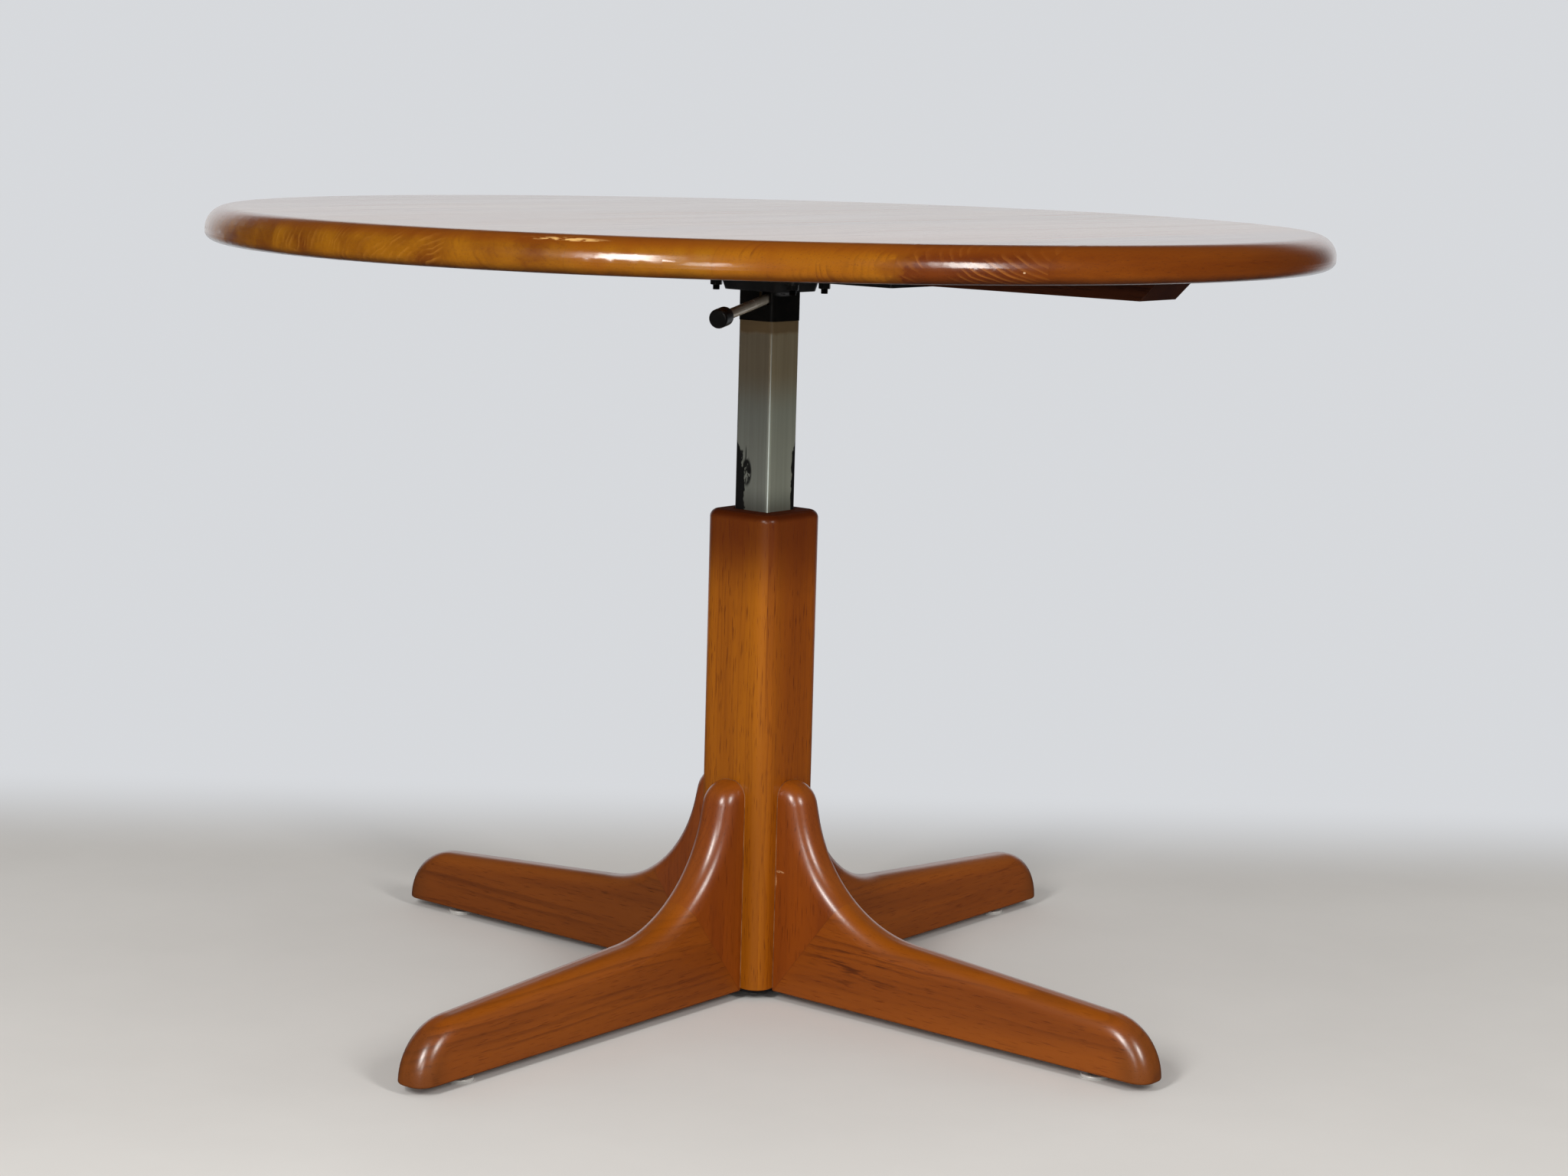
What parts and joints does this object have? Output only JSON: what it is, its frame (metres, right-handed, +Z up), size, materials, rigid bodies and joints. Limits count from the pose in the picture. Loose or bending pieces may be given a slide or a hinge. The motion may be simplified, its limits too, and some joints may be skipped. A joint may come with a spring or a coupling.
{
  "type": "telescoping pedestal table",
  "caption": "Round wooden pedestal table with a height-adjusting steel column in a wooden sleeve on a swept four-leg base.",
  "frame": {"origin": "on the floor, on the axis of the column", "axes": "+Z up; the legs lie along X and Y; the boards of the top run along Y"},
  "size_m": [1, 1, 0.714],
  "materials": {
    "top_wood": "satin lacquer on oiled teak",
    "batten_wood": "dark stain",
    "sleeve_wood": "satin lacquer on oiled teak",
    "leg_wood": "satin lacquer on oiled teak",
    "dowel_beech": "plain",
    "black_steel": "semi-gloss black paint",
    "tube_steel": "drawn, dull",
    "lever_steel": "bright drawn",
    "zinc_steel": "dark zinc",
    "screw_steel": "zinc",
    "black_sheath": "matt, shrunk on",
    "black_plastic": "moulded",
    "cap_plastic": "moulded, satin",
    "cylinder_paint": "black paint",
    "rod_chrome": "ground",
    "glide_chrome": "polished, worn",
    "socket_aluminium": "cast",
    "guide_brass": "turned"
  },
  "bodies": {
    "base": {"sleeve_board_right": "sleeve_wood", "sleeve_board_back": "sleeve_wood", "sleeve_board_left": "sleeve_wood", "sleeve_board_front": "sleeve_wood", "leg_upright_right": "leg_wood", "leg_upright_back": "leg_wood", "leg_upright_left": "leg_wood", "leg_upright_front": "leg_wood", "leg_foot_right": "leg_wood", "leg_foot_back": "leg_wood", "leg_foot_left": "leg_wood", "leg_foot_front": "leg_wood", "leg_dowels": "dowel_beech", "mitre_splines": "dowel_beech", "base_plate": "black_steel", "base_screws": "screw_steel", "guide_bush": "black_plastic", "gas_rod": "rod_chrome", "gas_piston": "guide_brass", "rod_nut": "zinc_steel", "glide_inserts": "guide_brass"},
    "top": {"top_board_01": "top_wood", "top_board_02": "top_wood", "top_board_03": "top_wood", "top_board_04": "top_wood", "top_board_05": "top_wood", "top_board_06": "top_wood", "top_board_07": "top_wood", "top_board_08": "top_wood", "top_board_09": "top_wood", "top_board_10": "top_wood", "top_board_11": "top_wood", "batten": "batten_wood", "batten_screws": "screw_steel", "steel_bar": "black_steel", "bar_screws": "screw_steel", "plate_studs": "zinc_steel", "stud_washers": "zinc_steel", "stud_nuts": "zinc_steel", "mount_plate": "black_steel", "column_tube": "tube_steel", "column_collar": "black_sheath", "slide_shoe": "black_plastic", "gas_cylinder": "cylinder_paint", "cylinder_socket": "socket_aluminium", "rod_guide": "guide_brass", "lever_bracket": "black_steel", "pivot_pin": "zinc_steel"},
    "lever": {"lever_rod": "lever_steel", "lever_cap": "cap_plastic"},
    "release_pin": {"release_pin": "rod_chrome"},
    "glide_right": {"glide_disc_right": "glide_chrome", "glide_stem_right": "glide_chrome"},
    "glide_back": {"glide_disc_back": "glide_chrome", "glide_stem_back": "glide_chrome"},
    "glide_left": {"glide_disc_left": "glide_chrome", "glide_stem_left": "glide_chrome"},
    "glide_front": {"glide_disc_front": "glide_chrome", "glide_stem_front": "glide_chrome"}
  },
  "joints": [
    {"name": "lift", "type": "slide", "parent": "base", "child": "top", "axis": [0, 0, 1], "range_m": [-0.162, 0]},
    {"name": "lever_pull", "type": "hinge", "parent": "top", "child": "lever", "pos_m": [0.00841, -0.01247, 0.64187], "axis": [-0.9455, -0.3256, 0], "range_deg": [0, 7], "stiffness_Nm_per_rad": 0.8, "springref_deg": -4.58},
    {"name": "pin_press", "type": "slide", "parent": "top", "child": "release_pin", "axis": [0, 0, 1], "range_m": [-0.002, 0]},
    {"name": "glide_turn_right", "type": "hinge", "parent": "base", "child": "glide_right", "pos_m": [0.382, 0, 0], "axis": [0, 0, 1], "continuous": true},
    {"name": "glide_turn_back", "type": "hinge", "parent": "base", "child": "glide_back", "pos_m": [0, 0.382, 0], "axis": [0, 0, 1], "continuous": true},
    {"name": "glide_turn_left", "type": "hinge", "parent": "base", "child": "glide_left", "pos_m": [-0.382, 0, 0], "axis": [0, 0, 1], "continuous": true},
    {"name": "glide_turn_front", "type": "hinge", "parent": "base", "child": "glide_front", "pos_m": [0, -0.382, 0], "axis": [0, 0, 1], "continuous": true}
  ],
  "couplings": [
    {"joint": "pin_press", "follows": "lever_pull", "m_per_rad": -0.0145}
  ]
}
